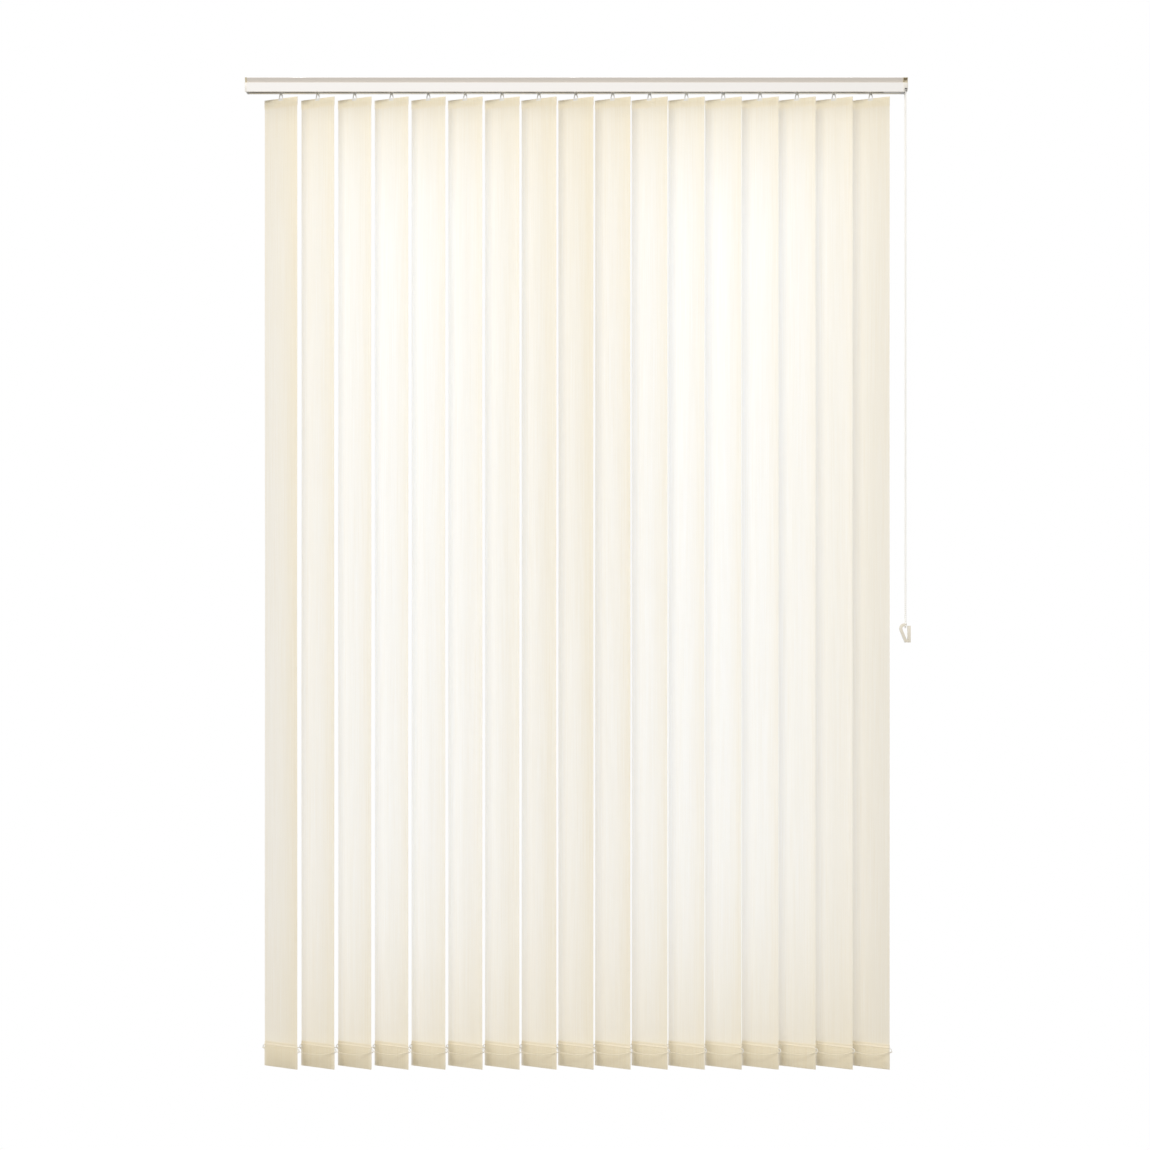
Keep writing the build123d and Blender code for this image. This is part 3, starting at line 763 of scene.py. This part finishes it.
    def slat_mesh(self, s, index):
        path, top_seam, bottom_seam = self.rows(s)
        wave_turn, slat_turn = 9, 1.7  # radians of wave along a slat, and from one slat to the next
        cut_step = 7.3  # each slat is cut from another place on the roll
        notch = s.eye_base_width / 2 + s.eye_clear
        half_width = s.slat_width / 2
        shares = [-1, -0.85, -0.65, -0.4, -0.2]
        lefts = [share * half_width for share in shares]
        columns = lefts + [-notch, 0, notch] + [-x for x in reversed(lefts)]
        window = (len(lefts), len(lefts) + 1)  # the columns between the notch's two sides
        bm = bmesh.new()
        grid = []
        for out, height, _ in path:
            run = min(max((top_seam - height) / (top_seam - bottom_seam), 0), 1)
            free = sin(pi * run)
            sway = s.cloth_wave * sin(wave_turn * run + slat_turn * index) * free
            row = []
            for x in columns:
                bow = s.cloth_bow * (1 - (x / half_width) ** 2) * free
                wave = sway * x / half_width
                row.append(bm.verts.new((x, out - bow + wave, height)))
            grid.append(row)
        for k, (low, high) in enumerate(zip(grid, grid[1:])):
            cut_out = path[k][2] and path[k + 1][2]
            for j in range(len(columns) - 1):
                if cut_out and j in window:
                    continue
                bm.faces.new((low[j], low[j + 1], high[j + 1], high[j]))
        mesh = bpy.data.meshes.new(f"slat_cloth_{index + 1:02d}")
        bm.to_mesh(mesh)
        bm.free()
        cut = mesh.attributes.new("cut", "FLOAT", "POINT")
        cut.data.foreach_set("value", [cut_step * index] * len(mesh.vertices))
        return shade(mesh, degrees=50)

    def hem_mesh(self, s, bottom_seam):
        """Two pressed bands, on the pocket's front and back."""
        across, down = 12, 8
        half = s.pocket_thick / 2
        bm = bmesh.new()
        columns = [s.slat_width * (k / across - 0.5) for k in range(across + 1)]
        for side in (-1, 1):
            grid = []
            for k in range(down + 1):
                t = k / down
                height = bottom_seam + s.hem_rise - s.hem_band * t
                drop = min(max((bottom_seam - height) / s.pocket_taper, 0), 1)
                out = s.hem_stand + (half - s.hem_sink) * drop + s.hem_crown * sin(pi * t)
                grid.append([bm.verts.new((x, side * out, height)) for x in columns])
            for low, high in zip(grid, grid[1:]):
                for j in range(len(columns) - 1):
                    face = (low[j], high[j], high[j + 1], low[j + 1])
                    bm.faces.new(face if side < 0 else face[::-1])
        mesh = bpy.data.meshes.new("hem_band")
        bm.to_mesh(mesh)
        bm.free()
        return shade(mesh, degrees=60)

    def execute(self, context):
        s, c = context.scene.blind_sizes, context.scene.blind_colours
        cloth, hem = self.cloth(c), self.hem(c)
        band = self.hem_mesh(s, s.slat_bottom + s.bottom_pocket)
        for index, number in enumerate(slat_numbers):
            body = f"louvre_{number}"
            place = hung(s, index)
            slat = piece(f"cloth_{number}", self.slat_mesh(s, index), cloth, body, place)
            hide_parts(f"slat_{number}")
            strip = piece(f"hem_{number}", band, hem, body, place)
        return {"FINISHED"}


class BLIND_OT_fittings(bpy.types.Operator):
    """Pinion stems with hooks, hangers, weights and end rings"""

    bl_idname = "blind.fittings"
    bl_label = "Fittings"

    def execute(self, context):
        s, c = context.scene.blind_sizes, context.scene.blind_colours
        # Moulded polypropylene: milky white with a soft sheen, and it lets some light through
        white = moulded(
            "moulded_polypropylene", c.fitting, roughness=0.35, mottle=0.96, grain_mm=1, milky=0.65
        )
        # Steel strip dipped in a plastic coat: duller than the clips at its ends
        coated = moulded("dip_coated_steel", c.weight, roughness=0.55, mottle=0.92, grain_mm=2.5)

        upright = Matrix.Rotation(pi / 2, 4, "X")
        eye_top = s.slat_top + s.eye_rise
        hanger_top = s.slat_top - s.fold_crown - s.seat
        hanger_foot = hanger_top - s.hanger_height
        half_top, half_base = s.eye_top_width / 2, s.eye_base_width / 2
        slope = (half_base - half_top) / (eye_top - hanger_top)
        hole_top = half_top + slope * s.eye_bar - s.eye_side
        hole_base = half_base - s.eye_side
        reach = s.hanger_length / 2
        hanger = rounded(
            [
                (-half_top, eye_top),
                (-half_base, hanger_top),
                (-reach, hanger_top),
                (-reach, hanger_foot),
                (reach, hanger_foot),
                (reach, hanger_top),
                (half_base, hanger_top),
                (half_top, eye_top),
            ],
            s.hanger_corner_r,
        )
        hole = rounded(
            [
                (-hole_top, eye_top - s.eye_bar),
                (-hole_base, s.slat_top),
                (hole_base, s.slat_top),
                (hole_top, eye_top - s.eye_bar),
            ],
            s.eye_corner_r,
        )
        weight_foot = s.slat_bottom + s.fold_crown + s.seat
        half = s.weight_length / 2
        weight = rounded(
            [
                (-half, weight_foot),
                (half, weight_foot),
                (half, weight_foot + s.weight_height),
                (-half, weight_foot + s.weight_height),
            ],
            s.weight_corner_r,
        )
        parts = [(plate([hanger, hole], s.plate_thick, s.plate_edge_r), upright)]
        clips = []
        for side in (-1, 1):
            middle = (side * s.slat_width / 2, s.slat_bottom + s.ring_rise)
            rim = circle(*middle, s.ring_r * FLAT_SHARE)
            inside = circle(*middle, s.ring_hole_r * FLAT_SHARE)
            clips.append((plate([rim, inside], s.plate_thick, s.ring_edge_r), upright))

        tooth_count = 6
        tip_half = 0.12  # half the turn of a tooth's flat tip, in radians
        teeth = []
        for tooth in range(tooth_count):
            tip = 2 * pi * tooth / tooth_count
            corners = (
                (tip - tip_half, s.pinion_r),
                (tip + tip_half, s.pinion_r),
                (tip + pi / tooth_count, s.pinion_root_r),
            )
            teeth += [(radius * cos(turn), radius * sin(turn)) for turn, radius in corners]
        pinion = plate([teeth], s.pinion_height, s.plate_edge_r)
        parts.append((pinion, Matrix.Translation((0, 0, s.box_middle))))

        hook_top = eye_top + s.eye_clear + s.hook_bar / 2
        cup = eye_top - s.eye_bar - s.seat - s.hook_bar / 2
        out = s.plate_thick / 2 + s.eye_clear + s.hook_bar / 2
        bm = bmesh.new()
        stem = [
            Vector((0, 0, s.box_middle)),
            Vector((0, 0, s.rail_bottom)),
            Vector((0, 0, hook_top + s.stem_foot)),
        ]
        tube(bm, stem, s.stem_r, sides=16)
        hook = [
            (0, 0, hook_top + s.hook_root),
            (0, 0, hook_top),
            (0, -out, hook_top),
            (0, -out, hook_top - s.hook_shoulder),
            (0, -out, cup),
            (0, 0, cup),
            (0, out, cup),
            (0, out, cup + s.hook_tip),
        ]
        tube(bm, smooth_route(hook, steps=6), s.hook_bar / 2, sides=12)
        collar_foot_share = 0.7
        bmesh.ops.create_cone(
            bm,
            cap_ends=True,
            segments=24,
            radius1=collar_foot_share * s.collar_r,
            radius2=s.collar_r,
            depth=s.collar_height,
            matrix=Matrix.Translation((0, 0, s.rail_bottom - s.seat - s.collar_height / 2)),
        )
        stem_mesh = bpy.data.meshes.new("stem")
        bm.to_mesh(stem_mesh)
        bm.free()
        parts.append((stem_mesh, Matrix.Identity(4)))
        weights = [(plate([weight], s.plate_thick, s.plate_edge_r), upright)]
        kinds = (("hanger", parts, white), ("weight", weights, coated), ("ring_clips", clips, white))
        for kind, meshes, material in kinds:
            mesh = shade(joined(meshes))
            mesh.name = kind
            for index, number in enumerate(slat_numbers):
                name, body = f"{kind}_{number}", f"louvre_{number}"
                made = piece(name, mesh, material, body, hung(s, index))
                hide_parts(f"fittings_{number}")
        return {"FINISHED"}


class BLIND_OT_rail(bpy.types.Operator):
    """Head rail, end caps, brackets and tilt rod"""

    bl_idname = "blind.rail"
    bl_label = "Rail"

    def execute(self, context):
        s, c = context.scene.blind_sizes, context.scene.blind_colours
        # Extruded aluminium with a powder coat: even satin with a faint orange peel, white on the box.
        # The grey above the channel foot is painted shade for the undercut channel, and the creamier
        # colour on the faces that look down is painted light.
        material, tree = new_material("powder_coated_aluminium")
        peel_width, peel_depth = 1.2 * MM, 0.08 * MM
        line_length, line_width = 700 * MM, 3 * MM
        place = node(tree, "ShaderNodeTexCoord").outputs["Object"]
        peel = noise(tree, place, peel_width, detail=2)
        drawn = stretch(tree, place, (line_length, line_width, line_width))
        lines = noise(tree, drawn, width=1, detail=3)
        facing = node(tree, "ShaderNodeNewGeometry").outputs["Normal"]
        up = node(tree, "ShaderNodeSeparateXYZ", links={0: facing}).outputs["Z"]
        # Painted light: faces that look down take the paler underside colour
        down = node(tree, "ShaderNodeMath", {1: -0.5}, {0: up}, operation="LESS_THAN").outputs[0]
        # Painted shade: greyer above the channel foot, for the shade in the undercut channel
        sides = two_tone(tree, place, c.rail, c.rail_channel_painted_shade, s.channel_shade_foot)
        coat = mix(tree, {"B": (*c.rail_underside_painted_light, 1)}, {"Factor": down, "A": sides})
        tint = mix(tree, {"B": (0.96, 0.96, 0.96, 1)}, {"Factor": lines, "A": coat}, "MULTIPLY")
        shader = node(
            tree,
            "ShaderNodeBsdfPrincipled",
            {"Roughness": 0.5, "Specular IOR Level": 0.25},
            {"Base Color": tint, "Normal": relief(tree, peel, strength=0.12, depth=peel_depth)},
        )
        finish_material(tree, shader)
        dress("head_rail", material)

        # Moulded ABS: satin, with a slight grain from the tool; the darker colour where it closes the
        # channel is painted shade
        material = moulded(
            "moulded_abs_caps",
            c.cap,
            roughness=0.42,
            mottle=0.95,
            grain_mm=0.8,
            painted_shade_above=c.cap_channel_painted_shade,
            split=s.channel_shade_foot,
        )
        for name in ("idle_end_cap", "control_end_cap"):
            cap = piece(name + "_moulding", eased(name, s.cap_edge), material, "rail_unit")
            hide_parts(name)

        # Pressed steel, zinc plated: bright grey with a faint spangle
        material, tree = new_material("zinc_plated_steel")
        spangle_width = 4 * MM
        dull = [x * 0.85 for x in c.zinc]
        place = node(tree, "ShaderNodeTexCoord").outputs["Object"]
        cells = node(tree, "ShaderNodeTexVoronoi", {"Scale": 1 / spangle_width}, {"Vector": place})
        spangle = cells.outputs["Distance"]
        rough = node(
            tree, "ShaderNodeMapRange", {"To Min": 0.28, "To Max": 0.5}, {"Value": spangle}
        )
        tint = mix(tree, {"A": (*c.zinc, 1), "B": (*dull, 1)}, {"Factor": spangle})
        shader = node(
            tree,
            "ShaderNodeBsdfPrincipled",
            {"Metallic": 1},
            {"Base Color": tint, "Roughness": rough.outputs[0]},
        )
        finish_material(tree, shader)
        pressed = eased("mounting_brackets", s.bracket_edge)
        brackets = piece("pressed_brackets", pressed, material, "rail_unit")
        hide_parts("mounting_brackets")

        # Drawn aluminium: fine lines along the rod
        material, tree = new_material("drawn_aluminium")
        line_length, line_width = 120 * MM, 0.6 * MM
        place = node(tree, "ShaderNodeTexCoord").outputs["Object"]
        drawn = stretch(tree, place, (line_length, line_width, line_width))
        lines = noise(tree, drawn, width=1, detail=3)
        rough = node(
            tree, "ShaderNodeMapRange", {"To Min": 0.25, "To Max": 0.45}, {"Value": lines}
        )
        shader = node(
            tree,
            "ShaderNodeBsdfPrincipled",
            {"Base Color": (*c.rod, 1), "Metallic": 1},
            {"Roughness": rough.outputs[0]},
        )
        finish_material(tree, shader)
        dress("tilt_rod", material)
        return {"FINISHED"}


class BLIND_OT_carriers(bpy.types.Operator):
    """Carrier trucks and their spacer strips"""

    bl_idname = "blind.carriers"
    bl_label = "Carriers"

    def execute(self, context):
        c = context.scene.blind_colours
        # Moulded acetal: matt, slightly waxy
        material = moulded(
            "moulded_acetal_carriers", c.carrier, roughness=0.5, mottle=0.93, grain_mm=1
        )
        for number in slat_numbers:
            dress(f"carrier_{number}", material)
        return {"FINISHED"}


class BLIND_OT_tidy(bpy.types.Operator):
    """Chain tidy on the side wall"""

    bl_idname = "blind.tidy"
    bl_label = "Chain tidy"

    def execute(self, context):
        s, c = context.scene.blind_sizes, context.scene.blind_colours
        # Moulded ABS in cream: satin, with a slight grain from the tool
        material = moulded("moulded_abs_tidy", c.tidy, roughness=0.38, mottle=0.94, grain_mm=0.8)
        moulding = eased("chain_tidy", s.tidy_edge)
        strap = piece("tidy_strap", moulding, material, "rail_unit")
        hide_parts("chain_tidy")
        return {"FINISHED"}


class BLIND_PT_pieces(bpy.types.Panel):
    """Lists the blind's pieces, sizes and colours"""

    bl_idname = "BLIND_PT_pieces"
    bl_label = "Vertical blind"
    bl_space_type = "VIEW_3D"
    bl_region_type = "UI"
    bl_category = "Blind"

    def draw(self, context):
        for operator in operators:
            self.layout.operator(operator.bl_idname)
        for group in (context.scene.blind_sizes, context.scene.blind_colours):
            for name in group.__annotations__:
                self.layout.prop(group, name)


operators = (
    BLIND_OT_stage,
    BLIND_OT_bead_chain,
    BLIND_OT_bottom_chains,
    BLIND_OT_slats,
    BLIND_OT_fittings,
    BLIND_OT_rail,
    BLIND_OT_carriers,
    BLIND_OT_tidy,
)
classes = (BlindSizes, BlindColours, *operators, BLIND_PT_pieces)


def register():
    for item in classes:
        bpy.utils.register_class(item)
    bpy.types.Scene.blind_sizes = PointerProperty(type=BlindSizes)
    bpy.types.Scene.blind_colours = PointerProperty(type=BlindColours)


def unregister():
    del bpy.types.Scene.blind_sizes
    del bpy.types.Scene.blind_colours
    for item in reversed(classes):
        bpy.utils.unregister_class(item)


def main():
    register()
    for operator in operators:
        getattr(bpy.ops.blind, operator.bl_idname.split(".")[1])()
    bpy.context.view_layer.update()


if __name__ == "__main__":
    main()
